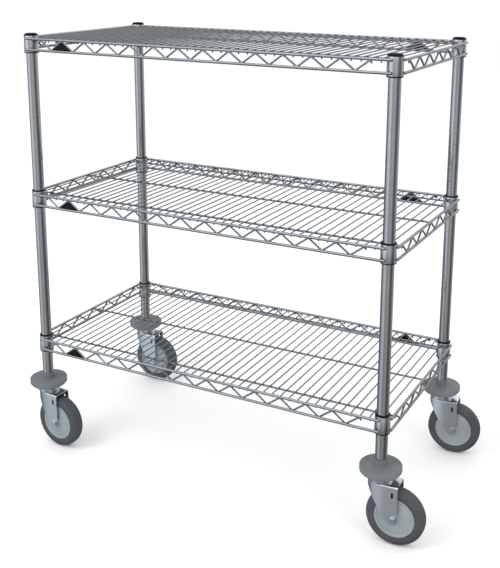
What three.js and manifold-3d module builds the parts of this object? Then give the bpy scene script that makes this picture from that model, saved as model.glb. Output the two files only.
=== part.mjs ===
// Wire shelf cart: four grooved posts, three welded wire shelves and four swivel casters.
// Millimetres, +Z up. X runs along the long side, Y from the front (-Y) to the back (+Y).
// The origin is on the floor, below the middle of the whole cart's bounding box.
import * as THREE from "three";
import { mergeVertices } from "three/addons/utils/BufferGeometryUtils.js";
import Module from "manifold-3d";

const wasm = await Module();
wasm.setup();

// ---- Driving dimensions -------------------------------------------------------------------

const POST_SPACING_X = 876; // between post axes, along the long side
const POST_SPACING_Y = 417; // between post axes, front to back
const POST_RADIUS = 12.7;
const POST_WALL = 1.3;
const POST_BOTTOM = 184.3;
const POST_TOP = 1013.6;
const GAP = 0.3; // between pieces that touch

const TUBE_SIDES = 12; // posts, sleeves, collars and stems
const BUMPER_SIDES = 16;
const WHEEL_SIDES = 28;

const SHELVES = { bottom: 263.6, middle: 627.6, top: 991.6 }; // height of each collar's middle
const COLLAR_HEIGHT = 37;
const COLLAR_RADIUS_TOP = 15.8;
const COLLAR_RADIUS_BOTTOM = 16.6;
const COLLAR_BORE = 14.2;
const SLEEVE_LIP_TOP = 3; // black sleeve showing above the collar
const SLEEVE_LIP_BOTTOM = 2.2;

const TRUSS_OFFSET = 18.4; // truss plane outside the post axes
const TRUSS_HEIGHT = 25; // between the two frame wires' centres
const FRAME_WIRE = 3; // wire radii
const SNAKE_WIDTH = 4.2;
const SNAKE_THICKNESS = 3.2;
const DECK_WIRE = 1.5;
const SUPPORT_WIRE = 2.2;
const SNAKE_PITCH = 60.8;
const SNAKE_PITCHES_LONG = 13;
const SNAKE_PITCHES_SHORT = 6;
const WIRES_PER_PITCH = 3;
const SUPPORT_OFFSET = 189; // outer support wires from the middle of the shelf

const WHEEL_RADIUS = 63.5;
const TYRE_WIDTH = 30;
const CORE_RADIUS = 44;
const SWIVEL_OFFSET = 36; // axle behind the swivel axis
const AXLE_RADIUS = 4.8;
const HUB_HALF_WIDTH = 17.6;
const FORK_INNER = 18.6; // half the space between the fork's legs
const FORK_SHEET = 2.8;
const FORK_TOP = 138.5;
const FORK_FLAT_TO = 18; // the legs are flat behind this point and curve in ahead of it
const FORK_NOSE = 44;
const NOSE_POWER = 2.4;
const LEG_END_X = 32.5; // middle of the leg's round end
const LEG_END_Z = 62.5;
const LEG_END_RADIUS = 11.5;
const KINGPIN_RADIUS = 6;
const RACE_RADIUS = 23;
const BUMPER_RADIUS = 44.5;
const BUMPER_BOTTOM = 154;
const BUMPER_TOP = 170.5;
const BUMPER_HUB_RADIUS = 13.5;

const CORNERS = [
  { name: "front_left", x: -1, y: -1, trail: -5.1 },
  { name: "front_right", x: 1, y: -1, trail: 2.3 },
  { name: "rear_left", x: -1, y: 1, trail: 0.9 },
  { name: "rear_right", x: 1, y: 1, trail: 5.1 },
];

// ---- Materials ----------------------------------------------------------------------------

const finish = (color, roughness, metalness) =>
  new THREE.MeshStandardMaterial({ color, roughness, metalness });
const chrome = finish(0xc4c9ce, 0.2, 1);
const zinc = finish(0xa9b2ba, 0.35, 1);
const steel = finish(0xb4b8bc, 0.3, 1);
const blackPlastic = finish(0x17181a, 0.5, 0);
const bumperRubber = finish(0x6e7376, 0.75, 0);
const tyreRubber = finish(0x55585c, 0.8, 0);
const corePlastic = finish(0x96a0a8, 0.55, 0);

// ---- Solids -------------------------------------------------------------------------------

// A closed three.js geometry as a solid that can be joined and cut.
function solid(geometry) {
  const bare = geometry.clone();
  bare.deleteAttribute("normal");
  bare.deleteAttribute("uv");
  const merged = mergeVertices(bare, 1e-3);
  const vertProperties = new Float32Array(merged.attributes.position.array);
  const triVerts = new Uint32Array(merged.index.array);
  return new wasm.Manifold(new wasm.Mesh({ numProp: 3, vertProperties, triVerts }));
}

function geometryOf(made) {
  const mesh = made.getMesh();
  const geometry = new THREE.BufferGeometry();
  geometry.setAttribute("position", new THREE.BufferAttribute(mesh.vertProperties, 3));
  geometry.setIndex(new THREE.BufferAttribute(mesh.triVerts, 1));
  const flat = geometry.toNonIndexed();
  flat.computeVertexNormals();
  return flat;
}

const join = (pieces) => pieces.map(solid).reduce((whole, piece) => whole.add(piece));

// A ring or a solid of revolution about Z. The outline is [radius, z] pairs, anticlockwise.
function revolve(outline, sides) {
  const points = outline.map(([r, z]) => new THREE.Vector2(r, z));
  if (outline.every(([r]) => r > 0)) points.push(points[0].clone());
  return new THREE.LatheGeometry(points, sides).rotateX(Math.PI / 2);
}

// A flat outline of [x, z] pairs, extruded along Y from y0 to y1.
function plateXZ(outline, y0, y1) {
  const shape = new THREE.Shape(outline.map(([x, z]) => new THREE.Vector2(x, z)));
  const settings = { depth: y1 - y0, bevelEnabled: false };
  return new THREE.ExtrudeGeometry(shape, settings).rotateX(Math.PI / 2).translate(0, y1, 0);
}

// The circumradius of a regular polygon with the same area as a circle.
const equalArea = (radius, sides) =>
  radius * Math.sqrt((2 * Math.PI) / (sides * Math.sin((2 * Math.PI) / sides)));

// A straight wire from a to b. The turn is about its own length.
function wire(a, b, radius, sides, turn = 0) {
  const along = new THREE.Vector3().subVectors(b, a);
  const r = equalArea(radius, sides);
  const bar = new THREE.CylinderGeometry(r, r, along.length(), sides).rotateY(turn);
  const axis = new THREE.Vector3(0, 1, 0);
  bar.applyQuaternion(new THREE.Quaternion().setFromUnitVectors(axis, along.normalize()));
  return bar.translate(...new THREE.Vector3().addVectors(a, b).multiplyScalar(0.5).toArray());
}

const at = (x, y, z) => new THREE.Vector3(x, y, z);

// ---- Shelves ------------------------------------------------------------------------------

const HALF_X = POST_SPACING_X / 2;
const HALF_Y = POST_SPACING_Y / 2;
const TOP_WIRE_Z = TRUSS_HEIGHT / 2;
const SNAKE_REACH = TOP_WIRE_Z - 4.6; // the snake wire's bends are welded to the frame wires
const DECK_Z = TOP_WIRE_Z + FRAME_WIRE - DECK_WIRE;
const DECK_TURN = Math.PI; // puts a flat side of each deck wire on top

// The snake wire's bends along one truss: down, up, down ... starting and ending at the top.
function snakeBends(pitches) {
  const bends = [];
  for (let i = 0; i <= 2 * pitches; i++)
    bends.push([(i - pitches) * (SNAKE_PITCH / 2), i % 2 ? -SNAKE_REACH : SNAKE_REACH]);
  return bends;
}

// One truss in its own XZ plane: two frame wires and the snake wire between them.
function truss(halfLength, pitches) {
  const bends = snakeBends(pitches);
  const slope = Math.atan2(2 * SNAKE_REACH, SNAKE_PITCH / 2);
  const half = SNAKE_WIDTH / 2 / Math.cos(slope);
  const upper = bends.map(([x, z]) => [x, z + half]);
  const lower = bends.map(([x, z]) => [x, z - half]).reverse();
  const snake = plateXZ([...upper, ...lower], -SNAKE_THICKNESS / 2, SNAKE_THICKNESS / 2);
  const wires = [TOP_WIRE_Z, -TOP_WIRE_Z].map((z) =>
    wire(at(-halfLength, 0, z), at(halfLength, 0, z), FRAME_WIRE, 6, Math.PI / 6),
  );
  return [snake, ...wires];
}

// The four trusses, placed around the shelf.
function trusses() {
  const placed = [];
  for (const half of [0, Math.PI]) {
    for (const piece of truss(HALF_X, SNAKE_PITCHES_LONG))
      placed.push(piece.translate(0, -HALF_Y - TRUSS_OFFSET, 0).rotateZ(half));
    for (const piece of truss(HALF_Y, SNAKE_PITCHES_SHORT))
      placed.push(piece.translate(0, -HALF_X - TRUSS_OFFSET, 0).rotateZ(half + Math.PI / 2));
  }
  return placed;
}

function collar(corner) {
  const half = COLLAR_HEIGHT / 2;
  const outline = [
    [COLLAR_BORE, -half],
    [COLLAR_RADIUS_BOTTOM, -half],
    [COLLAR_RADIUS_TOP, half],
    [COLLAR_BORE, half],
  ];
  return revolve(outline, TUBE_SIDES).translate(corner.x * HALF_X, corner.y * HALF_Y, 0);
}

// The welded rim of a shelf. The collars' bores stay clear of the wires that end on them.
function shelfFrame() {
  const bores = CORNERS.map((corner) => {
    const bore = new THREE.CylinderGeometry(COLLAR_BORE, COLLAR_BORE, 2 * COLLAR_HEIGHT, TUBE_SIDES);
    return bore.rotateX(Math.PI / 2).translate(corner.x * HALF_X, corner.y * HALF_Y, 0);
  });
  return geometryOf(join([...trusses(), ...CORNERS.map(collar)]).subtract(join(bores)));
}

// Deck wires from front to back on three support wires, just inside the rim. The wires that
// would meet the collars stop on the outer support wires.
function shelfDeck() {
  const spacing = SNAKE_PITCH / WIRES_PER_PITCH;
  const reachX = HALF_X + TRUSS_OFFSET - FRAME_WIRE * 1.1 - GAP;
  const reachY = HALF_Y + TRUSS_OFFSET - FRAME_WIRE * 1.1 - GAP;
  const collarSide = HALF_X - COLLAR_RADIUS_BOTTOM - 2 * DECK_WIRE;
  const pieces = [];
  for (let x = spacing / 2; x < reachX - DECK_WIRE; x += spacing) {
    const end = x < collarSide ? reachY : SUPPORT_OFFSET + SUPPORT_WIRE;
    for (const side of [-1, 1])
      pieces.push(wire(at(side * x, -end, DECK_Z), at(side * x, end, DECK_Z), DECK_WIRE, 5, DECK_TURN));
  }
  const supportZ = DECK_Z - DECK_WIRE - SUPPORT_WIRE * 0.85;
  for (const y of [-SUPPORT_OFFSET, 0, SUPPORT_OFFSET])
    pieces.push(wire(at(-reachX, y, supportZ), at(reachX, y, supportZ), SUPPORT_WIRE, 6));
  return geometryOf(join(pieces));
}

// A sleeve grips the post and fills the collar's bore, with a lip above and below the collar.
function sleeve() {
  const half = COLLAR_HEIGHT / 2;
  const inner = POST_RADIUS + GAP;
  const body = COLLAR_BORE - GAP;
  const outline = [
    [inner, -half - SLEEVE_LIP_BOTTOM],
    [body, -half - SLEEVE_LIP_BOTTOM],
    [body, half + GAP],
    [COLLAR_RADIUS_TOP - 0.6, half + GAP],
    [COLLAR_RADIUS_TOP - 1.2, half + GAP + SLEEVE_LIP_TOP],
    [inner, half + GAP + SLEEVE_LIP_TOP],
  ];
  return revolve(outline, TUBE_SIDES);
}

// A plain triangular badge that fills the second triangle of the snake wire.
function badge() {
  const apex = (2 - SNAKE_PITCHES_LONG) * (SNAKE_PITCH / 2);
  const inset = 6; // keeps the plate clear of the snake wire
  const base = -TOP_WIRE_Z + FRAME_WIRE * 1.1 + GAP;
  const tip = SNAKE_REACH - inset;
  const slope = (2 * SNAKE_REACH) / (SNAKE_PITCH / 2);
  const halfBase = (tip - base) / slope;
  const outline = [
    [apex - halfBase, base],
    [apex + halfBase, base],
    [apex, tip],
  ];
  return plateXZ(outline, -1.5, 1.5).translate(0, -HALF_Y - TRUSS_OFFSET, 0);
}

// ---- Posts --------------------------------------------------------------------------------

function post() {
  const inner = POST_RADIUS - POST_WALL;
  const outline = [
    [inner, POST_BOTTOM],
    [POST_RADIUS, POST_BOTTOM],
    [POST_RADIUS, POST_TOP],
    [inner, POST_TOP],
  ];
  return revolve(outline, TUBE_SIDES);
}

function postCap() {
  const plug = POST_RADIUS - POST_WALL - GAP;
  const rim = POST_RADIUS + 0.6;
  const base = POST_TOP + GAP;
  const outline = [
    [0, POST_TOP - 14],
    [plug, POST_TOP - 14],
    [plug, base],
    [rim, base],
    [rim, base + 1],
    [rim - 3, base + 1.7],
    [0, base + 2],
  ];
  return revolve(outline, TUBE_SIDES);
}

// ---- Casters: each is drawn about its own swivel axis, trailing along +X --------------------

// The rubber ring bumper, with a raised hub that the post stands on.
function bumper() {
  const bore = KINGPIN_RADIUS + 0.5;
  const hubTop = POST_BOTTOM - GAP;
  const outline = [
    [bore, BUMPER_BOTTOM],
    [BUMPER_RADIUS - 4.5, BUMPER_BOTTOM],
    [BUMPER_RADIUS, BUMPER_BOTTOM + 5],
    [BUMPER_RADIUS, BUMPER_TOP - 1.5],
    [BUMPER_RADIUS - 1.5, BUMPER_TOP],
    [BUMPER_HUB_RADIUS, BUMPER_TOP],
    [BUMPER_HUB_RADIUS, hubTop],
    [bore, hubTop],
  ];
  return revolve(outline, BUMPER_SIDES);
}

// The kingpin: a rivet head below the fork, the upper ball race, and the insert in the post.
function stem() {
  const insert = POST_RADIUS - POST_WALL - GAP;
  const plateBottom = FORK_TOP - FORK_SHEET - 0.4;
  const raceBottom = FORK_TOP + 0.4;
  const raceTop = BUMPER_BOTTOM - GAP;
  const shoulder = POST_BOTTOM + 1;
  const outline = [
    [0, plateBottom - 5],
    [9, plateBottom - 5],
    [9, plateBottom],
    [KINGPIN_RADIUS, plateBottom],
    [KINGPIN_RADIUS, raceBottom],
    [RACE_RADIUS, raceBottom],
    [RACE_RADIUS - 1.5, raceTop],
    [KINGPIN_RADIUS, raceTop],
    [KINGPIN_RADIUS, shoulder],
    [insert, shoulder],
    [insert, shoulder + 62],
    [0, shoulder + 62],
  ];
  return revolve(outline, TUBE_SIDES);
}

// The fork's side profile: a plate over the wheel and legs that lean back to the axle.
function forkProfile() {
  const nose = FORK_FLAT_TO - FORK_NOSE - 1;
  const outline = [
    [nose, FORK_TOP],
    [nose, FORK_TOP - 7],
    [-9, FORK_TOP - 38.5],
    [8, FORK_TOP - 64.5],
  ];
  for (let degrees = 225; degrees <= 360; degrees += 27) {
    const angle = THREE.MathUtils.degToRad(degrees);
    const x = LEG_END_X + LEG_END_RADIUS * Math.cos(angle);
    outline.push([x, LEG_END_Z + LEG_END_RADIUS * Math.sin(angle)]);
  }
  outline.push([LEG_END_X + LEG_END_RADIUS, FORK_TOP]);
  return outline;
}

// The fork's plan: flat sides joined by a superellipse round the front.
function forkPlan(halfWidth) {
  const rear = 60; // beyond the profile's rear edge
  const nose = FORK_NOSE - (FORK_INNER + FORK_SHEET - halfWidth);
  const outline = [new THREE.Vector2(rear, -halfWidth), new THREE.Vector2(rear, halfWidth)];
  const steps = 12;
  for (let i = 0; i <= steps; i++) {
    const angle = Math.PI * (0.5 + i / steps);
    const along = Math.abs(Math.cos(angle)) ** (2 / NOSE_POWER);
    const across = Math.sign(Math.sin(angle)) * Math.abs(Math.sin(angle)) ** (2 / NOSE_POWER);
    outline.push(new THREE.Vector2(FORK_FLAT_TO - nose * along, halfWidth * across));
  }
  return new THREE.Shape(outline);
}

// The pressed fork, open at the back, with a slot high in each leg.
function fork() {
  const outerWidth = FORK_INNER + FORK_SHEET;
  const low = 40;
  const prism = (halfWidth, z0, z1) => {
    const settings = { depth: z1 - z0, bevelEnabled: false };
    return new THREE.ExtrudeGeometry(forkPlan(halfWidth), settings).translate(0, 0, z0);
  };
  const shell = solid(prism(outerWidth, low, FORK_TOP));
  const inside = solid(prism(FORK_INNER, low - 1, FORK_TOP - FORK_SHEET));
  const profile = solid(plateXZ(forkProfile(), -40, 40));
  const slot = new THREE.BoxGeometry(5, 80, 12).translate(LEG_END_X, 0, FORK_TOP - 20);
  const axleHole = new THREE.CylinderGeometry(AXLE_RADIUS + GAP, AXLE_RADIUS + GAP, 80, 12);
  const pinHole = new THREE.CylinderGeometry(KINGPIN_RADIUS + 0.5, KINGPIN_RADIUS + 0.5, 20, TUBE_SIDES);
  const holes = [
    slot,
    axleHole.translate(SWIVEL_OFFSET, 0, WHEEL_RADIUS),
    pinHole.rotateX(Math.PI / 2).translate(0, 0, FORK_TOP),
  ];
  return geometryOf(shell.subtract(inside).intersect(profile).subtract(join(holes)));
}

// Bolt, nut, core and tyre are drawn about the Z axis, and the axle group turns Z into Y.
const HEAD_FACE = FORK_INNER + FORK_SHEET + GAP;

function axleBolt() {
  const head = new THREE.CylinderGeometry(7.3, 7.3, 5, 6);
  const shank = new THREE.CylinderGeometry(AXLE_RADIUS, AXLE_RADIUS, 2 * HEAD_FACE + 9, 12);
  const pieces = [head.translate(0, HEAD_FACE + 2.5, 0), shank.translate(0, -4, 0)];
  return geometryOf(join(pieces)).rotateX(Math.PI / 2);
}

function axleNut() {
  const nut = new THREE.CylinderGeometry(8, 8, 6, 6).translate(0, -HEAD_FACE - 3, 0);
  const bore = new THREE.CylinderGeometry(AXLE_RADIUS + GAP, AXLE_RADIUS + GAP, 20, 12);
  return geometryOf(solid(nut).subtract(solid(bore.translate(0, -HEAD_FACE - 3, 0)))).rotateX(Math.PI / 2);
}

function wheelCore() {
  const bore = AXLE_RADIUS + 0.4;
  const rimHalf = TYRE_WIDTH / 2 - 1.5;
  const half = [
    [bore, HUB_HALF_WIDTH],
    [11, HUB_HALF_WIDTH],
    [14, 10],
    [37, 10],
    [CORE_RADIUS, rimHalf],
  ];
  const mirrored = half.map(([r, z]) => [r, -z]);
  return revolve([...mirrored, ...half.reverse()], BUMPER_SIDES);
}

function tyre() {
  const inner = CORE_RADIUS + GAP;
  const halfWidth = TYRE_WIDTH / 2;
  const half = [
    [inner, halfWidth],
    [WHEEL_RADIUS - 6, halfWidth],
    [WHEEL_RADIUS, halfWidth - 8],
  ];
  const mirrored = half.map(([r, z]) => [r, -z]);
  return revolve([...mirrored, ...half.reverse()], WHEEL_SIDES);
}

// ---- Assembly -----------------------------------------------------------------------------

const cart = new THREE.Group();

function add(parent, name, geometry, material) {
  const mesh = new THREE.Mesh(geometry, material);
  mesh.name = name;
  parent.add(mesh);
  return mesh;
}

function groupAt(parent, x, y, z) {
  const group = new THREE.Group();
  group.position.set(x, y, z);
  parent.add(group);
  return group;
}

function addPost(corner) {
  const group = groupAt(cart, corner.x * HALF_X, corner.y * HALF_Y, 0);
  add(group, `post_${corner.name}`, post(), chrome);
  add(group, `post_cap_${corner.name}`, postCap(), blackPlastic);
}

function addCaster(corner) {
  const group = groupAt(cart, corner.x * HALF_X, corner.y * HALF_Y, 0);
  add(group, `bumper_${corner.name}`, bumper(), bumperRubber);
  add(group, `caster_stem_${corner.name}`, stem(), zinc);
  group.rotation.z = THREE.MathUtils.degToRad(corner.trail);
  add(group, `fork_${corner.name}`, fork(), zinc);
  const axle = groupAt(group, SWIVEL_OFFSET, 0, WHEEL_RADIUS);
  axle.rotation.x = Math.PI / 2;
  add(axle, `axle_bolt_${corner.name}`, axleBolt(), steel);
  add(axle, `axle_nut_${corner.name}`, axleNut(), steel);
  add(axle, `wheel_core_${corner.name}`, wheelCore(), corePlastic);
  add(axle, `tyre_${corner.name}`, tyre(), tyreRubber);
}

function addShelf(name, height) {
  const group = groupAt(cart, 0, 0, height);
  add(group, `${name}_shelf_frame`, shelfFrame(), chrome);
  add(group, `${name}_shelf_deck`, shelfDeck(), chrome);
  for (const corner of CORNERS) {
    const place = groupAt(group, corner.x * HALF_X, corner.y * HALF_Y, 0);
    add(place, `${name}_sleeve_${corner.name}`, sleeve(), blackPlastic);
  }
  add(group, `${name}_badge_front`, badge(), blackPlastic);
  add(group, `${name}_badge_rear`, badge(), blackPlastic).rotation.z = Math.PI;
}

CORNERS.forEach(addPost);
CORNERS.forEach(addCaster);
Object.entries(SHELVES).forEach(([name, height]) => addShelf(name, height));

// The casters trail to one side, so the box's middle is beside the middle of the posts.
const box = new THREE.Box3().setFromObject(cart, true);
const middle = box.getCenter(new THREE.Vector3());
cart.position.set(-middle.x, -middle.y, -box.min.z);

export default cart;
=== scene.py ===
"""Looks of the wire shelf cart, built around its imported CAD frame. Lengths are in metres."""
import math

import bmesh
import bpy
from mathutils import Matrix, Vector


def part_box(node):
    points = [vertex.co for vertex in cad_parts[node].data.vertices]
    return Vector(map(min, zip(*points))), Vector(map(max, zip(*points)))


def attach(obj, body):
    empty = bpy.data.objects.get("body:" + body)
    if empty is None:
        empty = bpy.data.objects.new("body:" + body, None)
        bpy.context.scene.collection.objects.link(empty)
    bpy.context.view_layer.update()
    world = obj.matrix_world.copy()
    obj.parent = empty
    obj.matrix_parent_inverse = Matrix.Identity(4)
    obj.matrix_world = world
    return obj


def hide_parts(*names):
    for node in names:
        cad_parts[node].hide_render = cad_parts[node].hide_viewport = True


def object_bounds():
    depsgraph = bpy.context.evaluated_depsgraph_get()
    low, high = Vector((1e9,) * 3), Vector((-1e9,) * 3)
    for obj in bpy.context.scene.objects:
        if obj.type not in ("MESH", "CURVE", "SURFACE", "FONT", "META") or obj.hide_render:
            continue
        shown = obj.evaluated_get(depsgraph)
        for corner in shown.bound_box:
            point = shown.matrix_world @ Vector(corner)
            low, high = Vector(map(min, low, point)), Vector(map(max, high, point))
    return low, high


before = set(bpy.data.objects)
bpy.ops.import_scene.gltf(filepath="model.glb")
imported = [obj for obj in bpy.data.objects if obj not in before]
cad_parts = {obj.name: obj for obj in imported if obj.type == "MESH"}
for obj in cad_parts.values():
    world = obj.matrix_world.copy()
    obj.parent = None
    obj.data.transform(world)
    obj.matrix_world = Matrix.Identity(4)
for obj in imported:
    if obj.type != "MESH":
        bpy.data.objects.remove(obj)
cad_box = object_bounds()

MM = 0.001


def add_object(name, data):
    thing = bpy.data.objects.new(name, data)
    bpy.context.scene.collection.objects.link(thing)
    return thing


# ---- Camera --------------------------------------------------------------------------------

CAMERA_PLACE = Vector((0.998, -1.84923, 1.189))
CAMERA_YAW = math.radians(27.046)
CAMERA_PITCH = math.radians(13.086)
CAMERA_ROLL = math.radians(0.411)
CAMERA_SENSOR = 36  # this and the lens are in millimetres
CAMERA_LENS = 58.84
CAMERA_SHIFT = (-0.044, -0.197)


def make_camera():
    data = bpy.data.cameras.new("camera")
    data.sensor_width = CAMERA_SENSOR
    data.lens = CAMERA_LENS
    data.shift_x, data.shift_y = CAMERA_SHIFT
    camera = add_object("camera", data)
    turn = Matrix.Rotation(CAMERA_YAW, 4, "Z") @ Matrix.Rotation(math.pi / 2 - CAMERA_PITCH, 4, "X")
    camera.matrix_world = Matrix.Translation(CAMERA_PLACE) @ turn @ Matrix.Rotation(CAMERA_ROLL, 4, "Z")
    bpy.context.scene.camera = camera


make_camera()

# ---- Sizes ----------------------------------------------------------------------------------

CORNERS = ("front_left", "front_right", "rear_left", "rear_right")
SHELVES = ("bottom", "middle", "top")


def middle(node):
    low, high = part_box(node)
    return (Vector(low) + Vector(high)) / 2


POST_AXIS = {corner: middle(f"post_{corner}") for corner in CORNERS}
POST_LOW, POST_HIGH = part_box("post_front_left")
POST_RADIUS = (POST_HIGH[0] - POST_LOW[0]) / 2
HALF_X = (POST_AXIS["front_right"].x - POST_AXIS["front_left"].x) / 2
HALF_Y = (POST_AXIS["rear_left"].y - POST_AXIS["front_left"].y) / 2
CENTRE_X = POST_AXIS["front_left"].x + HALF_X
CENTRE_Y = POST_AXIS["front_left"].y + HALF_Y
SHELF_Z = {shelf: middle(f"{shelf}_shelf_frame").z for shelf in SHELVES}

# Sizes that no box in the frame gives: wires, collars and walls.
TRUSS_OFFSET = 18.4 * MM
TOP_WIRE = 12.5 * MM
FRAME_WIRE = 3 * MM
SNAKE_WIRE = 2.1 * MM
DECK_WIRE = 1.5 * MM
SUPPORT_WIRE = 2.2 * MM
SNAKE_PITCH = 60.8 * MM
SNAKE_COUNTS = (13, 6)  # pitches along a long side and a short side
SNAKE_SHORT = 1.4 * MM  # how far its bends stop short of the frame wires' middles
SNAKE_BEND = 6 * MM
SNAKE_TAIL = 6 * MM
SUPPORT_OFFSET = 189 * MM
DECK_BEND = 3.2 * MM
DECK_OVERHANG = 2.5 * MM  # of a short deck wire past the outer support wire
WELD_DEPTH = 0.3 * MM
COLLAR_HALF = 18.5 * MM
COLLAR_BORE = 14.2 * MM
COLLAR_TOP_RADIUS = 15.8 * MM
COLLAR_LOW_RADIUS = 16.6 * MM
COLLAR_EDGE = 0.6 * MM
POST_WALL = 1.3 * MM
POST_EDGE = 0.4 * MM
BORE_FIT = 1.6 * MM  # the post's wall, and the gap round whatever plugs its bore

# ---- Mesh tools -----------------------------------------------------------------------------

TUBE_LIP = 0.3  # a wire's rounded end: how far it stands out, and its radius, against the wire's
TUBE_TIP = 0.75
MITRE_LIMIT = 1.2
STRAIGHT = 0.05  # a corner that bends less than this many radians isn't rounded


def smooth(data, sharp):
    """Smooth shading, apart from the edges that are sharper than an angle in degrees."""
    data.polygons.foreach_set("use_smooth", [True] * len(data.polygons))
    data.set_sharp_from_angle(angle=math.radians(sharp))


def stacked(count, layers):
    """The faces that join rings of points, one on the next, with a cap at each end."""
    faces = []
    for i in range(layers - 1):
        for k in range(count):
            a, b = i * count + k, i * count + (k + 1) % count
            faces.append((a, b, b + count, a + count))
    faces.append(tuple(range(count))[::-1])
    faces.append(tuple(range((layers - 1) * count, layers * count)))
    return faces


class Surface:
    """Collects vertices and faces of the parts of one piece."""

    def __init__(self):
        self.points = []
        self.faces = []

    def add(self, points, faces, place=None):
        start = len(self.points)
        self.points += [place @ Vector(p) if place else Vector(p) for p in points]
        self.faces += [[start + i for i in face] for face in faces]

    def piece(self, name, material, sharp=35):
        data = bpy.data.meshes.new(name)
        data.from_pydata([tuple(p) for p in self.points], [], self.faces)
        made = bmesh.new()
        made.from_mesh(data)
        bmesh.ops.recalc_face_normals(made, faces=made.faces)
        made.to_mesh(data)
        made.free()
        smooth(data, sharp)
        data.materials.append(material)
        return add_object(name, data)


def soften(points, radius, steps=4, closed=False):
    """A flat or 3-D polyline whose corners are rounded with short curves."""
    points = [Vector(p) for p in points]
    count = len(points)
    out = []
    for i, corner in enumerate(points):
        if not closed and i in (0, count - 1):
            out.append(corner)
            continue
        before = points[i - 1] - corner
        after = points[(i + 1) % count] - corner
        bend = math.pi - before.angle(after)
        if bend < STRAIGHT:
            out.append(corner)
            continue
        reach = min(radius * math.tan(bend / 2), before.length * 0.49, after.length * 0.49)
        start = corner + before.normalized() * reach
        end = corner + after.normalized() * reach
        for k in range(steps + 1):
            t = k / steps
            out.append(start * (1 - t) ** 2 + corner * (2 * t * (1 - t)) + end * t ** 2)
    return out


def tube(surface, points, radius, sides=10, place=None):
    """A wire of round section along a line of points, with slightly rounded ends."""
    points = [Vector(p) for p in points]
    directions = []
    for i in range(len(points)):
        ahead = points[min(i + 1, len(points) - 1)] - points[max(i - 1, 0)]
        directions.append(ahead.normalized())
    side = directions[0].orthogonal().normalized()
    rings = []
    for i, (point, along) in enumerate(zip(points, directions)):
        side = (side - along * side.dot(along)).normalized()
        stretch = 1.0
        if 0 < i < len(points) - 1:
            edge = (points[i] - points[i - 1]).normalized()
            stretch = 1 / max(0.6, edge.dot(along))
        rings.append((point, side, along.cross(side), radius * min(stretch, MITRE_LIMIT)))
    first, last = rings[0], rings[-1]
    lip, tip = radius * TUBE_LIP, radius * TUBE_TIP
    rings.insert(0, (first[0] - directions[0] * lip, first[1], first[2], tip))
    rings.append((last[0] + directions[-1] * lip, last[1], last[2], tip))
    verts = []
    for point, u, v, size in rings:
        for k in range(sides):
            angle = 2 * math.pi * k / sides
            verts.append(point + (u * math.cos(angle) + v * math.sin(angle)) * size)
    surface.add(verts, stacked(sides, len(rings)), place)


def lathe(surface, outline, sides=48, place=None, start=0.0, sweep=2 * math.pi):
    """A solid or ring of revolution about Z from [radius, z] pairs. A part turn gets end faces."""
    whole = sweep > 2 * math.pi - 1e-6
    ring = outline[0][0] > 0 and outline[-1][0] > 0
    columns = sides if whole else sides + 1
    verts, index = [], []
    for radius, height in outline:
        if radius < 1e-9:
            index.append([len(verts)] * columns)
            verts.append((0, 0, height))
            continue
        index.append(list(range(len(verts), len(verts) + columns)))
        for k in range(columns):
            angle = start + sweep * k / sides
            verts.append((radius * math.cos(angle), radius * math.sin(angle), height))
    rows = len(outline) if ring else len(outline) - 1
    faces = []
    for i in range(rows):
        low, high = index[i], index[(i + 1) % len(outline)]
        for k in range(sides):
            n = (k + 1) % columns
            corners = (low[k], low[n], high[n], high[k])
            face = tuple(dict.fromkeys(corners))
            if len(face) > 2:
                faces.append(face)
    if not whole:
        faces.append(tuple(row[0] for row in index))
        faces.append(tuple(row[-1] for row in index)[::-1])
    surface.add(verts, faces, place)


def prism(surface, outline, depth, bevel, place=None):
    """A flat outline in XY, extruded along Z from 0 to depth, with bevelled top and bottom edges."""
    outline = [Vector((p[0], p[1])) for p in outline]
    count = len(outline)
    inset = []
    for i, point in enumerate(outline):
        before = (point - outline[i - 1]).normalized()
        after = (outline[(i + 1) % count] - point).normalized()
        across = (before + after).normalized()
        scale = bevel / max(0.5, across.dot(after))
        inset.append(point + Vector((-across.y, across.x)) * scale)
    layers = [(inset, 0), (outline, bevel), (outline, depth - bevel), (inset, depth)]
    verts = [(p.x, p.y, z) for points, z in layers for p in points]
    surface.add(verts, stacked(count, len(layers)), place)


def hexagon(radius):
    return [(radius * math.cos(k * math.pi / 3), radius * math.sin(k * math.pi / 3)) for k in range(6)]


def place_piece(thing, body, slot, *nodes):
    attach(thing, body)
    if nodes:
        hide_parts(*nodes)


def shift(x, y, z):
    return Matrix.Translation((x, y, z))


# ---- Materials ------------------------------------------------------------------------------


def new_material(name, colour, roughness, metallic=0.0):
    """A Principled material and its shader."""
    material = bpy.data.materials.new(name)
    material.use_nodes = True
    shader = material.node_tree.nodes["Principled BSDF"]
    shader.inputs["Base Color"].default_value = (*colour, 1)
    shader.inputs["Roughness"].default_value = roughness
    shader.inputs["Metallic"].default_value = metallic
    return material, shader


def coordinates(material, stretch=(1, 1, 1)):
    """Places on the piece in metres, stretched along each axis."""
    nodes, links = material.node_tree.nodes, material.node_tree.links
    source = nodes.new("ShaderNodeTexCoord")
    mapping = nodes.new("ShaderNodeMapping")
    mapping.inputs["Scale"].default_value = stretch
    links.new(source.outputs["Object"], mapping.inputs["Vector"])
    return mapping.outputs["Vector"]


def noise(material, vector, scale, detail=3.0):
    texture = material.node_tree.nodes.new("ShaderNodeTexNoise")
    texture.inputs["Scale"].default_value = scale
    texture.inputs["Detail"].default_value = detail
    material.node_tree.links.new(vector, texture.inputs["Vector"])
    return texture.outputs["Fac"]


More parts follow.
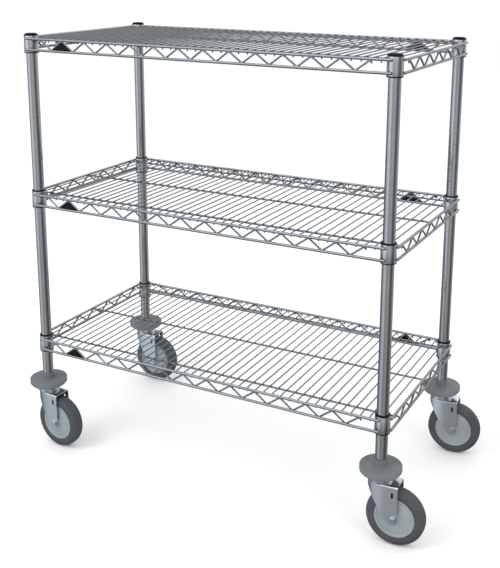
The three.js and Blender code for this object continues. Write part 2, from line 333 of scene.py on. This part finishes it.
def fill_ramp(node, stops):
    """Gives a colour ramp node its stops, each (position, (r, g, b)), in order."""
    elements = node.color_ramp.elements
    for element, (position, colour) in zip(elements, (stops[0], stops[-1])):
        element.position = position
        element.color = (*colour, 1)
    for position, colour in stops[1:-1]:
        elements.new(position).color = (*colour, 1)


def ramp(material, value, *stops):
    """Maps a value to colours."""
    node = material.node_tree.nodes.new("ShaderNodeValToRGB")
    fill_ramp(node, stops)
    material.node_tree.links.new(value, node.inputs["Fac"])
    return node.outputs["Color"]


def level(material, value, low, high):
    """Maps a 0 to 1 value to the range from low to high."""
    node = material.node_tree.nodes.new("ShaderNodeMapRange")
    node.inputs["To Min"].default_value = low
    node.inputs["To Max"].default_value = high
    material.node_tree.links.new(value, node.inputs["Value"])
    return node.outputs["Result"]


def bump(material, shader, height, strength, distance):
    node = material.node_tree.nodes.new("ShaderNodeBump")
    node.inputs["Strength"].default_value = strength
    node.inputs["Distance"].default_value = distance
    material.node_tree.links.new(height, node.inputs["Height"])
    material.node_tree.links.new(node.outputs["Normal"], shader.inputs["Normal"])


def link(material, output, socket):
    material.node_tree.links.new(output, socket)


GRAIN_RELIEF = 0.2 * MM
PEBBLE_RELIEF = 0.3 * MM
UNEVEN_GLOSS = 0.08


def metal(name, dark, light, rough, cloud, grain, grain_stretch=(1, 1, 1), depth=0.02):
    """Plated metal: faint cloudy tone and roughness, and a fine ground grain."""
    material, shader = new_material(name, light, rough[0], 1.0)
    plain = coordinates(material)
    clouds = noise(material, plain, cloud, 4)
    link(material, ramp(material, clouds, (0.3, dark), (0.7, light)), shader.inputs["Base Color"])
    spots = noise(material, plain, cloud * 3.1, 5)
    link(material, level(material, spots, *rough), shader.inputs["Roughness"])
    lines = noise(material, coordinates(material, grain_stretch), grain, 2)
    bump(material, shader, lines, depth, GRAIN_RELIEF)
    return material


def moulded(name, dark, light, roughness, cloud, grain, depth):
    """Moulded plastic or rubber: a mottled tone, uneven gloss and a fine pebbled surface."""
    material, shader = new_material(name, light, roughness)
    plain = coordinates(material)
    clouds = noise(material, plain, cloud, 6)
    link(material, ramp(material, clouds, (0.32, dark), (0.68, light)), shader.inputs["Base Color"])
    spots = noise(material, plain, cloud * 2.3, 4)
    gloss = level(material, spots, roughness - UNEVEN_GLOSS, roughness + UNEVEN_GLOSS)
    link(material, gloss, shader.inputs["Roughness"])
    pebbles = noise(material, plain, grain, 3)
    bump(material, shader, pebbles, depth, PEBBLE_RELIEF)
    return material


CHROME = metal("chrome_post", (0.48, 0.49, 0.50), (0.52, 0.53, 0.54), rough=(0.09, 0.15),
               cloud=9, grain=900, grain_stretch=(1, 1, 0.05), depth=0.01)
WIRE = metal("chrome_wire", (0.26, 0.27, 0.275), (0.31, 0.32, 0.325), rough=(0.16, 0.26),
             cloud=14, grain=1400)
# The deck wires are the same chrome as the rim wires, so this darker copy of the wire colour is painted
# shade.
SHADED_DECK_CHROME = metal("chrome_deck_painted_shade", (0.17, 0.178, 0.182), (0.21, 0.218, 0.222), rough=(0.16, 0.26),
             cloud=14, grain=1400)
COLLAR = metal("chrome_collar", (0.56, 0.57, 0.58), (0.60, 0.61, 0.62), rough=(0.13, 0.20),
               cloud=12, grain=1100, grain_stretch=(1, 1, 0.1), depth=0.015)
ZINC = metal("zinc_steel", (0.62, 0.635, 0.64), (0.64, 0.655, 0.66), rough=(0.15, 0.18),
             cloud=12, grain=1600, depth=0.004)
BOLT = metal("bolt_steel", (0.45, 0.48, 0.50), (0.58, 0.60, 0.62), rough=(0.22, 0.36),
             cloud=90, grain=2200)
BLACK = moulded("black_plastic", (0.003, 0.003, 0.0035), (0.007, 0.007, 0.008), roughness=0.5,
                cloud=40, grain=2600, depth=0.10)
BLACK.node_tree.nodes["Principled BSDF"].inputs["Specular IOR Level"].default_value = 0.12
BUMPER = moulded("bumper_rubber", (0.118, 0.131, 0.139), (0.148, 0.163, 0.173), roughness=0.62,
                 cloud=22, grain=1800, depth=0.25)
TYRE = moulded("tyre_rubber", (0.045, 0.049, 0.053), (0.060, 0.065, 0.070), roughness=0.66,
               cloud=26, grain=1500, depth=0.30)
CORE = moulded("wheel_plastic", (0.215, 0.250, 0.268), (0.265, 0.305, 0.325), roughness=0.48,
               cloud=18, grain=2400, depth=0.08)

# ---- Shelves --------------------------------------------------------------------------------


def turned(angle):
    return Matrix.Rotation(angle, 4, "Z")


def truss_places(z):
    """The four truss planes of a shelf: (matrix, half length, pitches), each drawn in XZ."""
    at = shift(CENTRE_X, CENTRE_Y, z)
    for turn in (0, math.pi):
        yield at @ turned(turn) @ shift(0, -HALF_Y - TRUSS_OFFSET, 0), HALF_X, SNAKE_COUNTS[0]
        side = turned(turn + math.pi / 2) @ shift(0, -HALF_X - TRUSS_OFFSET, 0)
        yield at @ side, HALF_Y, SNAKE_COUNTS[1]


def snake_line(pitches):
    """The snake wire's centre line: rounded bends, and a short tail at each end."""
    reach = TOP_WIRE - SNAKE_SHORT
    count = 2 * pitches
    bends = [((i - pitches) * SNAKE_PITCH / 2, 0, -reach if i % 2 else reach) for i in range(count + 1)]
    bends.insert(0, (bends[0][0] - SNAKE_TAIL / 2, 0, reach - SNAKE_TAIL))
    bends.append((bends[-1][0] + SNAKE_TAIL / 2, 0, reach - SNAKE_TAIL))
    return soften(bends, SNAKE_BEND, 5)


def collar_outline():
    return soften(
        [(COLLAR_BORE, -COLLAR_HALF), (COLLAR_LOW_RADIUS, -COLLAR_HALF),
         (COLLAR_TOP_RADIUS, COLLAR_HALF), (COLLAR_BORE, COLLAR_HALF)],
        COLLAR_EDGE, 2, closed=True,
    )


def shelf_rim(shelf, body):
    z = SHELF_Z[shelf]
    wires = Surface()
    for place, half, pitches in truss_places(z):
        reach = half - FRAME_WIRE * TUBE_LIP
        for height in (TOP_WIRE, -TOP_WIRE):
            tube(wires, [(-reach, 0, height), (reach, 0, height)], FRAME_WIRE, 14, place)
        tube(wires, snake_line(pitches), SNAKE_WIRE, 10, place)
    rim = wires.piece(f"{shelf}_rim_wires", WIRE)
    place_piece(rim, body, "chrome_wire", f"{shelf}_shelf_frame")
    for corner, axis in POST_AXIS.items():
        ring = Surface()
        lathe(ring, collar_outline(), 56, shift(axis.x, axis.y, z))
        place_piece(ring.piece(f"{shelf}_collar_{corner}", COLLAR), body, "chrome_wire")


def deck_lines():
    """Each deck wire: its X from the middle, and whether it stops short at the collars."""
    spacing = SNAKE_PITCH / 3
    limit = HALF_X + TRUSS_OFFSET - FRAME_WIRE - 2 * DECK_WIRE
    x = spacing / 2
    while x < limit:
        for side in (-1, 1):
            yield side * x, x > HALF_X - COLLAR_LOW_RADIUS - 2 * DECK_WIRE
        x += spacing


def shelf_deck(shelf, body):
    place = shift(CENTRE_X, CENTRE_Y, SHELF_Z[shelf])
    top = TOP_WIRE + FRAME_WIRE - DECK_WIRE
    rim = HALF_Y + TRUSS_OFFSET - FRAME_WIRE - DECK_WIRE
    foot = TOP_WIRE - FRAME_WIRE - DECK_BEND
    wires = Surface()
    for x, short in deck_lines():
        if short:
            end = SUPPORT_OFFSET + DECK_OVERHANG
            line = [(x, -end, top), (x, end, top)]
        else:
            line = [(x, -rim, foot), (x, -rim, top), (x, rim, top), (x, rim, foot)]
        tube(wires, soften(line, DECK_BEND, 4), DECK_WIRE, 8, place)
    reach = HALF_X + TRUSS_OFFSET - FRAME_WIRE
    low = top - DECK_WIRE - SUPPORT_WIRE + WELD_DEPTH
    for y in (-SUPPORT_OFFSET, 0, SUPPORT_OFFSET):
        tube(wires, [(-reach, y, low), (reach, y, low)], SUPPORT_WIRE, 12, place)
    deck = wires.piece(f"{shelf}_deck_wires", SHADED_DECK_CHROME)
    place_piece(deck, body, "chrome_wire", f"{shelf}_shelf_deck")


SLEEVE_GAP = 0.25 * MM  # to the post, and to the collar's bore
SLEEVE_SEAT = 0.2 * MM  # to the collar's ends
SLEEVE_SPLIT = 0.03  # the angle between the halves


def sleeve_outline():
    """A split sleeve's wall, with a rounded lip above the collar and a thin one below it."""
    inner = POST_RADIUS + SLEEVE_GAP
    wall = COLLAR_BORE - SLEEVE_GAP
    high = COLLAR_HALF + SLEEVE_SEAT
    low = -COLLAR_HALF - SLEEVE_SEAT
    lip = COLLAR_TOP_RADIUS + 0.1 * MM
    foot = COLLAR_LOW_RADIUS + 0.3 * MM
    foot_low = low - 2.1 * MM
    corners = [
        (inner, foot_low), (foot - 1.2 * MM, foot_low), (foot, low - 0.9 * MM), (foot, low),
        (wall, low), (wall, high), (lip, high), (lip, high + 2.2 * MM), (inner, high + 3.0 * MM),
    ]
    return soften(corners, 0.5 * MM, 2, closed=True)


def shelf_sleeves(shelf, body):
    for corner, axis in POST_AXIS.items():
        halves = Surface()
        place = shift(axis.x, axis.y, SHELF_Z[shelf])
        for start in (math.pi / 4, math.pi * 5 / 4):
            lathe(halves, sleeve_outline(), 28, place, start + SLEEVE_SPLIT / 2, math.pi - SLEEVE_SPLIT)
        sleeve = halves.piece(f"{shelf}_split_sleeve_{corner}", BLACK)
        place_piece(sleeve, body, "black_plastic", f"{shelf}_sleeve_{corner}")


BADGE_HALF = 27 * MM
BADGE_PLATE = 4.4 * MM
BADGE_FACE = 1.2 * MM
BADGE_FACE_SHARE = 0.62  # the raised middle's base against the plate's


def shelf_badges(shelf, body):
    """A plain triangular badge with a raised middle, in one bend of the snake wire."""
    base = -TOP_WIRE + FRAME_WIRE + 0.2 * MM
    tip = TOP_WIRE - FRAME_WIRE - 1.5 * MM
    outline = soften([(-BADGE_HALF, base), (BADGE_HALF, base), (0, tip)], 1.6 * MM, 4, closed=True)
    reach, lift = BADGE_HALF * BADGE_FACE_SHARE, base + 2.6 * MM
    inner = soften([(-reach, lift), (reach, lift), (0, tip - 5 * MM)], 0.8 * MM, 3, closed=True)
    apex = (2 - SNAKE_COUNTS[0]) * SNAKE_PITCH / 2
    for name, turn in (("front", 0), ("rear", math.pi)):
        plate = Surface()
        at = shift(CENTRE_X, CENTRE_Y, SHELF_Z[shelf]) @ turned(turn)
        upright = Matrix.Rotation(math.pi / 2, 4, "X")
        front = -HALF_Y - TRUSS_OFFSET
        prism(plate, outline, BADGE_PLATE, 0.7 * MM, at @ shift(apex, front + 1.6 * MM, 0) @ upright)
        prism(plate, inner, BADGE_FACE, 0.4 * MM, at @ shift(apex, front - 2.4 * MM, 0) @ upright)
        badge = plate.piece(f"{shelf}_badge_plate_{name}", BLACK)
        place_piece(badge, body, "black_plastic", f"{shelf}_badge_{name}")


def make_shelves():
    for shelf in SHELVES:
        body = "middle_shelf" if shelf == "middle" else "cart_frame"
        shelf_rim(shelf, body)
        shelf_deck(shelf, body)
        shelf_sleeves(shelf, body)
        shelf_badges(shelf, body)


# ---- Posts ----------------------------------------------------------------------------------

GROOVES_BETWEEN_SHELVES = 14
GROOVE_HALF = 0.8 * MM
GROOVE_DEPTH = 0.15 * MM
GROOVE_SHOULDER = 0.5 * MM
GROOVE_MARGIN = 2 * MM  # no groove's middle is nearer than this to an end of the post


def post_outline():
    """The tube's wall with a shallow rolled groove at every height step of the shelves."""
    low, high = POST_LOW[2], POST_HIGH[2]
    bore, edge, floor = POST_RADIUS - POST_WALL, POST_RADIUS - POST_EDGE, POST_RADIUS - GROOVE_DEPTH
    step = (SHELF_Z["middle"] - SHELF_Z["bottom"]) / GROOVES_BETWEEN_SHELVES
    outline = [(bore, low), (edge, low), (POST_RADIUS, low + POST_EDGE)]
    z = SHELF_Z["bottom"] + step / 2
    while z - step > low + GROOVE_MARGIN:
        z -= step
    while z < high - GROOVE_MARGIN:
        outline += [(POST_RADIUS, z - GROOVE_HALF - GROOVE_SHOULDER), (POST_RADIUS, z - GROOVE_HALF)]
        outline += [(floor, z - GROOVE_HALF * 0.3), (floor, z + GROOVE_HALF * 0.3)]
        outline += [(POST_RADIUS, z + GROOVE_HALF), (POST_RADIUS, z + GROOVE_HALF + GROOVE_SHOULDER)]
        z += step
    return outline + [(POST_RADIUS, high - POST_EDGE), (edge, high), (bore, high)]


def post_cap_outline():
    """A low dome over the post's end, on a plug that fills the bore."""
    base = POST_HIGH[2]
    rim = POST_RADIUS + 0.5 * MM
    plug = POST_RADIUS - BORE_FIT
    foot, seat = base - 14 * MM, base + 0.2 * MM
    outline = [(0, foot), (plug - 0.6 * MM, foot), (plug, base - 13 * MM)]
    outline += [(plug, seat), (rim - 0.2 * MM, seat), (rim, base + 0.6 * MM)]
    dome, steps = 1.0 * MM, 6
    for k in range(steps + 1):
        angle = math.pi / 2 * k / steps
        outline.append((rim * math.cos(angle) if k < steps else 0, base + 1.1 * MM + dome * math.sin(angle)))
    return outline


def make_posts():
    for corner, axis in POST_AXIS.items():
        place = shift(axis.x, axis.y, 0)
        wall = Surface()
        lathe(wall, post_outline(), 56, place)
        post = wall.piece(f"grooved_post_{corner}", CHROME, 15)
        place_piece(post, "cart_frame", "chrome_wire", f"post_{corner}")
        plug = Surface()
        lathe(plug, post_cap_outline(), 40, place)
        cap = plug.piece(f"domed_cap_{corner}", BLACK)
        place_piece(cap, "cart_frame", "black_plastic", f"post_cap_{corner}")


# ---- Casters --------------------------------------------------------------------------------

FORK_INNER = 18.6 * MM
FORK_SHEET = 2.8 * MM
FORK_FLAT_TO = 18 * MM  # the legs are flat behind this point and curve in ahead of it
FORK_NOSE = 44 * MM
NOSE_POWER = 2.4
LEG_END = 11.5 * MM  # radius of the leg's round end, and its middle
LEG_END_X = 32.5 * MM
LEG_END_Z = 62.5 * MM
FORK_ROLL = 4.5 * MM  # the fork's rolled top edge, outside and inside
FORK_INNER_ROLL = 1.8 * MM
CUT_WIDTH = 80 * MM  # wider than the fork
BUMPER_RADIUS = 44.5 * MM
BUMPER_HUB = 13.5 * MM  # both the hub's radius and its height above the ring
BUMPER_BORE = 6.5 * MM
PIN = 6 * MM
RACE_OUTSIDE = 25.4 * MM
RACE_INSIDE = 24.2 * MM
RACE_BORE = 7 * MM
BALLS = 20
BALL = 1.5 * MM  # the balls run clear of the upper race
BALL_CIRCLE = 20 * MM
WASHER = 1.2 * MM


def caster_frame(corner):
    """The caster's place, its trail direction along local X, and the wheel's middle."""
    axis = POST_AXIS[corner]
    wheel = middle(f"tyre_{corner}")
    trail = Vector((wheel.x - axis.x, wheel.y - axis.y))
    place = shift(axis.x, axis.y, 0) @ turned(math.atan2(trail.y, trail.x))
    return place, trail.length, wheel.z


def make_bumper(corner, place):
    low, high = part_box(f"bumper_{corner}")
    foot, top = low[2], high[2]
    ledge = top - BUMPER_HUB
    edge = [(26 * MM, foot), (BUMPER_RADIUS - 4.5 * MM, foot), (BUMPER_RADIUS, foot + 5 * MM),
            (BUMPER_RADIUS, foot + 9 * MM)]
    rim = [(BUMPER_RADIUS, foot + 10 * MM), (BUMPER_RADIUS, ledge), (BUMPER_HUB + 6 * MM, ledge)]
    hub = [(BUMPER_HUB + 5 * MM, ledge), (BUMPER_HUB, ledge), (BUMPER_HUB, top), (BUMPER_BORE, top)]
    section = [(BUMPER_BORE, foot)] + soften(edge, 3 * MM, 4)
    section += soften(rim, 1.8 * MM, 4) + soften(hub, 0.9 * MM, 3)
    ring = Surface()
    lathe(ring, section, 72, place)
    bumper = ring.piece(f"ring_bumper_{corner}", BUMPER, 50)
    place_piece(bumper, "cart_frame", "bumper_rubber", f"bumper_{corner}")


def make_stem(corner, place, fork_top):
    """The kingpin: its foot under the fork, the upper race, and the insert in the post."""
    low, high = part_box(f"caster_stem_{corner}")
    foot, top = low[2], high[2]
    plate = fork_top - FORK_SHEET - 0.4 * MM
    race_low, race_high = fork_top + 4.6 * MM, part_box(f"bumper_{corner}")[0][2] - 0.2 * MM
    race_seat = race_low + 1.5 * MM
    insert, insert_low = POST_RADIUS - BORE_FIT, POST_LOW[2] + 1 * MM
    outline = [
        (0, foot), (7.5 * MM, foot), (9 * MM, foot + 1.5 * MM), (9 * MM, plate), (PIN, plate),
        (PIN, race_seat), (18 * MM, race_seat), (21.5 * MM, race_low), (23 * MM, race_low),
        (23.4 * MM, race_low + 1 * MM), (21.5 * MM, race_high), (PIN, race_high), (PIN, insert_low),
        (insert, insert_low), (insert, top - 1 * MM), (insert - 1 * MM, top), (0, top),
    ]
    shaft = Surface()
    lathe(shaft, outline, 56, place)
    stem = shaft.piece(f"kingpin_{corner}", ZINC)
    place_piece(stem, "cart_frame", "zinc_steel", f"caster_stem_{corner}")


def make_race(corner, place, fork_top):
    """The swivel's lower cup on top of the fork: a pressed skirt round a ring of balls."""
    cup = Surface()
    floor, lip = fork_top + 1.6 * MM, fork_top + 10.5 * MM
    section = [(RACE_BORE, fork_top), (RACE_OUTSIDE, fork_top), (RACE_OUTSIDE, lip), (RACE_INSIDE, lip),
               (RACE_INSIDE, floor), (RACE_BORE, floor)]
    lathe(cup, soften(section, 0.8 * MM, 3, closed=True), 56, place)
    steps = 8
    arc = []
    for k in range(steps + 1):
        angle = math.pi * (k / steps - 0.5)
        arc.append((BALL * math.cos(angle) if 0 < k < steps else 0, BALL * math.sin(angle)))
    for k in range(BALLS):
        angle = 2 * math.pi * k / BALLS
        across, along = BALL_CIRCLE * math.cos(angle), BALL_CIRCLE * math.sin(angle)
        lathe(cup, arc, 12, place @ shift(across, along, floor + BALL + 0.1 * MM))
    race = cup.piece(f"swivel_race_{corner}", ZINC)
    place_piece(race, f"swivel_{corner}", "zinc_steel")


def fork_plan(half_width, rear):
    """Flat sides joined by a superellipse round the front."""
    points = [(rear, half_width)]
    length = FORK_NOSE - (FORK_INNER + FORK_SHEET - half_width)
    steps = 36
    for k in range(steps + 1):
        angle = math.pi * (0.5 + k / steps)
        c, s = math.cos(angle), math.sin(angle)
        x = -abs(c) ** (2 / NOSE_POWER) * length
        y = math.copysign(abs(s) ** (2 / NOSE_POWER), s) * half_width
        points.append((FORK_FLAT_TO + x, y))
    points.append((rear, -half_width))
    return points


def rounded_block(half_width, low, top, edge, rear):
    """A U-shaped block whose top edge is rolled over."""
    block = Surface()
    steps = 6
    layers = [(half_width, low)]
    for k in range(steps + 1):
        angle = math.pi / 2 * k / steps
        layers.append((half_width - edge * (1 - math.cos(angle)), top - edge * (1 - math.sin(angle))))
    rings = [[(x, y, z) for x, y in fork_plan(width, rear)] for width, z in layers]
    block.add([p for ring in rings for p in ring], stacked(len(rings[0]), len(rings)))
    return block


def fork_profile(top):
    """The fork seen from the side: a high nose, a slanting front, and round leg ends."""
    nose = FORK_FLAT_TO - FORK_NOSE - 1 * MM
    steps = 18
    first, last = math.radians(225), math.radians(360)
    arc = []
    for k in range(steps + 1):
        angle = first + (last - first) * k / steps
        arc.append((LEG_END_X + LEG_END * math.cos(angle), LEG_END_Z + LEG_END * math.sin(angle)))
    outline = [(LEG_END_X + LEG_END, top + 5 * MM), (nose, top + 5 * MM), (nose, top - 7 * MM)]
    outline += [(-9 * MM, top - 38.5 * MM), (8 * MM, top - 64.5 * MM), arc[0]]
    return soften(outline, 14 * MM, 6) + [Vector(point) for point in arc[1:]]


def combine(target, tool, operation):
    modifier = target.modifiers.new(operation, "BOOLEAN")
    modifier.operation = operation
    modifier.solver = "EXACT"
    modifier.object = tool


def cutter(surface, name):
    """A shape that only cuts or trims the fork, and is removed afterwards."""
    thing = surface.piece(name, ZINC)
    thing.hide_render = True
    return thing


def apply_modifiers(thing):
    graph = bpy.context.evaluated_depsgraph_get()
    data = bpy.data.meshes.new_from_object(thing.evaluated_get(graph))
    thing.modifiers.clear()
    thing.data = data
    return data


def baked(thing):
    """The object's mesh with its modifiers applied, smooth apart from its sharp edges."""
    smooth(apply_modifiers(thing), 28)
    weighted = thing.modifiers.new("normals", "WEIGHTED_NORMAL")
    weighted.weight = 100
    weighted.keep_sharp = True
    return apply_modifiers(thing)


def make_fork_mesh(trail, axle_z, top):
    """The pressed fork about its swivel axis, trailing along X."""
    width = FORK_INNER + FORK_SHEET
    shell = rounded_block(width, 40 * MM, top, FORK_ROLL, 70 * MM).piece("fork", ZINC)
    hollow = rounded_block(FORK_INNER, 35 * MM, top - FORK_SHEET, FORK_INNER_ROLL, 80 * MM)
    upright = Matrix.Rotation(math.pi / 2, 4, "X")
    half = CUT_WIDTH / 2
    side = Surface()
    prism(side, fork_profile(top), CUT_WIDTH, 0, shift(0, half, 0) @ upright)
    cuts = Surface()
    slot_x, slot_z = 2.6 * MM, 6.2 * MM
    slot = [(-slot_x, -slot_z), (slot_x, -slot_z), (slot_x, slot_z), (-slot_x, slot_z)]
    slot_place = shift(LEG_END_X, half, top - 20 * MM) @ upright
    prism(cuts, soften(slot, 1 * MM, 3, closed=True), CUT_WIDTH, 0, slot_place)
    axle = [(0, -half), (5 * MM, -half), (5 * MM, half), (0, half)]
    lathe(cuts, axle, 24, shift(trail, 0, axle_z) @ upright)
    hole = [(0, -8 * MM), (6.5 * MM, -8 * MM), (6.5 * MM, 8 * MM), (0, 8 * MM)]
    lathe(cuts, hole, 32, shift(0, 0, top))
    tools = [cutter(hollow, "hollow"), cutter(side, "side"), cutter(cuts, "cuts")]
    for tool, operation in zip(tools, ("DIFFERENCE", "INTERSECT", "DIFFERENCE")):
        combine(shell, tool, operation)
    bevel = shell.modifiers.new("edges", "BEVEL")
    bevel.width = 0.35 * MM
    bevel.segments = 2
    bevel.limit_method = "ANGLE"
    bevel.angle_limit = math.radians(50)
    bevel.use_clamp_overlap = True
    data = baked(shell)
    for thing in (*tools, shell):
        bpy.data.objects.remove(thing)
    return data


def make_bolt(corner, place, trail, axle_z):
    """The axle bolt with a washer under its head, on the caster's right-hand side."""
    face = FORK_INNER + FORK_SHEET
    bolt = Surface()
    across = place @ shift(trail, 0, axle_z) @ Matrix.Rotation(math.pi / 2, 4, "X")
    washer = [(5 * MM, face), (7.9 * MM, face), (7.9 * MM, face + WASHER), (5 * MM, face + WASHER)]
    lathe(bolt, soften(washer, 0.4 * MM, 2, closed=True), 36, across)
    prism(bolt, hexagon(7.2 * MM), 4 * MM, 0.5 * MM, across @ shift(0, 0, face + WASHER))
    tip, inside = -face - 8.5 * MM, face + 2 * MM
    shank = [(0, tip), (4.2 * MM, tip), (4.8 * MM, -face - 7.9 * MM), (4.8 * MM, inside), (0, inside)]
    lathe(bolt, shank, 24, across)
    piece = bolt.piece(f"hex_bolt_{corner}", BOLT)
    place_piece(piece, f"swivel_{corner}", "bolt_steel", f"axle_bolt_{corner}")
    nut = Surface()
    prism(nut, hexagon(7.8 * MM), 5 * MM, 0.6 * MM, across @ shift(0, 0, -face - 5.2 * MM))
    end, base = -face - 7 * MM, -face - 5.2 * MM
    lathe(nut, [(5 * MM, end), (6.2 * MM, end), (6.8 * MM, base), (5 * MM, base)], 32, across)
    piece = nut.piece(f"lock_nut_{corner}", BOLT)
    place_piece(piece, f"swivel_{corner}", "bolt_steel", f"axle_nut_{corner}")


def mirrored(half):
    """A wheel's section from its half on one side of the middle plane."""
    return half + [(r, -z) for r, z in reversed(half)]


def make_wheel(corner, place, trail, axle_z):
    across = place @ shift(trail, 0, axle_z) @ Matrix.Rotation(math.pi / 2, 4, "X")
    core = Surface()
    half = [(5.2 * MM, 17.6 * MM), (10.5 * MM, 17.6 * MM), (12 * MM, 13.8 * MM), (34 * MM, 13.6 * MM),
            (36 * MM, 12.6 * MM), (38 * MM, 13.6 * MM), (44 * MM, 14.2 * MM)]
    lathe(core, soften(mirrored(half), 1.2 * MM, 3, closed=True), 72, across)
    piece = core.piece(f"wheel_disc_{corner}", CORE, 50)
    place_piece(piece, f"wheel_{corner}", "wheel_plastic", f"wheel_core_{corner}")
    tyre = Surface()
    half = [(44.2 * MM, 14.6 * MM), (46 * MM, 15.8 * MM), (54 * MM, 15.9 * MM), (60 * MM, 13 * MM),
            (63 * MM, 7.5 * MM), (63.5 * MM, 3 * MM)]
    lathe(tyre, soften(mirrored(half), 5 * MM, 5, closed=True), 96, across)
    piece = tyre.piece(f"rubber_tyre_{corner}", TYRE, 50)
    place_piece(piece, f"wheel_{corner}", "tyre_rubber", f"tyre_{corner}")


def make_casters():
    fork_mesh = None
    for corner in CORNERS:
        place, trail, axle_z = caster_frame(corner)
        fork_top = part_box(f"fork_{corner}")[1][2]
        if fork_mesh is None:
            fork_mesh = make_fork_mesh(trail, axle_z, fork_top)
        data = fork_mesh.copy()
        data.transform(place)
        fork = add_object(f"pressed_fork_{corner}", data)
        place_piece(fork, f"swivel_{corner}", "zinc_steel", f"fork_{corner}")
        make_bumper(corner, place)
        make_stem(corner, place, fork_top)
        make_race(corner, place, fork_top)
        make_bolt(corner, place, trail, axle_z)
        make_wheel(corner, place, trail, axle_z)


make_shelves()
make_posts()
make_casters()

# ---- Studio ---------------------------------------------------------------------------------

FLOOR_HALF = 12
FLOOR_DROP = 0.3 * MM  # the tyres stand clear of the floor by this much
BACKGROUND_STRENGTH = 1.1


def make_floor():
    floor = Surface()
    half = FLOOR_HALF
    floor.add([(-half, -half, 0), (half, -half, 0), (half, half, 0), (-half, half, 0)], [(0, 1, 2, 3)])
    material, shader = new_material("studio_floor", (0.93, 0.93, 0.93), 0.7)
    plain = coordinates(material)
    tone = noise(material, plain, 3, 2)
    link(material, ramp(material, tone, (0.2, (0.92, 0.92, 0.92)), (0.8, (0.94, 0.94, 0.94))),
         shader.inputs["Base Color"])
    thing = floor.piece("studio_floor", material)
    thing.location.z = cad_box[0][2] - FLOOR_DROP
    thing.visible_glossy = False  # the metal mirrors the studio bands, not the floor


def area_light(name, place, aim, size, power):
    """A soft lamp that lights the cart but isn't mirrored in its metal."""
    data = bpy.data.lights.new(name, "AREA")
    data.shape = "RECTANGLE"
    data.size, data.size_y = size
    data.energy = power
    lamp = add_object(name, data)
    lamp.location = place
    lamp.visible_glossy = False
    lamp.rotation_euler = (Vector(aim) - Vector(place)).to_track_quat("-Z", "Y").to_euler()


# What the metal mirrors, by compass direction: (turn from -X through -Y to +X and round, colour).
STUDIO_BANDS = (
    (0.02, (0.35, 0.36, 0.38)),
    (0.12, (0.90, 1.00, 1.10)),
    (0.18, (0.90, 1.00, 1.10)),
    (0.24, (0.45, 0.47, 0.50)),
    (0.35, (0.65, 0.63, 0.60)),
    (0.46, (0.15, 0.16, 0.17)),
    (0.52, (0.15, 0.16, 0.17)),
    (0.58, (0.45, 0.46, 0.48)),
    (0.76, (0.75, 0.77, 0.80)),
    (0.83, (0.35, 0.36, 0.38)),
)

# How strongly it is mirrored, from straight down (0) through level (0.5) to straight up (1).
STUDIO_HEIGHTS = (
    (0.15, (0.35, 0.35, 0.35)),
    (0.40, (1.0, 1.0, 1.0)),
    (0.55, (1.0, 1.0, 1.0)),
    (0.80, (2.4, 2.4, 2.4)),
)


def make_world():
    """A plain pale background, and the banded studio that only mirrored rays see."""
    world = bpy.data.worlds.new("studio")
    bpy.context.scene.world = world
    world.use_nodes = True
    tree = world.node_tree
    nodes, links = tree.nodes, tree.links
    background = nodes["Background"]
    background.inputs["Color"].default_value = (1, 1, 1, 1)
    background.inputs["Strength"].default_value = BACKGROUND_STRENGTH
    around = nodes.new("ShaderNodeTexCoord")
    split = nodes.new("ShaderNodeSeparateXYZ")
    links.new(around.outputs["Generated"], split.inputs["Vector"])
    angle = nodes.new("ShaderNodeMath")
    angle.operation = "ARCTAN2"
    links.new(split.outputs["Y"], angle.inputs[0])
    links.new(split.outputs["X"], angle.inputs[1])
    turn = nodes.new("ShaderNodeMapRange")
    turn.inputs["From Min"].default_value = -math.pi
    turn.inputs["From Max"].default_value = math.pi
    links.new(angle.outputs["Value"], turn.inputs["Value"])
    bands = nodes.new("ShaderNodeValToRGB")
    fill_ramp(bands, STUDIO_BANDS)
    links.new(turn.outputs["Result"], bands.inputs["Fac"])
    mirror = nodes.new("ShaderNodeBackground")
    height = nodes.new("ShaderNodeMapRange")
    height.inputs["From Min"].default_value = -1
    links.new(split.outputs["Z"], height.inputs["Value"])
    strength = nodes.new("ShaderNodeValToRGB")
    fill_ramp(strength, STUDIO_HEIGHTS)
    links.new(height.outputs["Result"], strength.inputs["Fac"])
    links.new(bands.outputs["Color"], mirror.inputs["Color"])
    links.new(strength.outputs["Color"], mirror.inputs["Strength"])
    rays = nodes.new("ShaderNodeLightPath")
    mix = nodes.new("ShaderNodeMixShader")
    links.new(rays.outputs["Is Glossy Ray"], mix.inputs["Fac"])
    links.new(background.outputs["Background"], mix.inputs[1])
    links.new(mirror.outputs["Background"], mix.inputs[2])
    links.new(mix.outputs["Shader"], nodes["World Output"].inputs["Surface"])


make_floor()
make_world()
area_light("key", place=(-1.6, -2.4, 2.9), aim=(0, 0, 0.5), size=(1.8, 1.8), power=45)
area_light("fill", place=(2.6, -1.2, 2.0), aim=(0, 0, 0.4), size=(1.6, 1.6), power=18)
bpy.context.scene.view_settings.view_transform = "Standard"
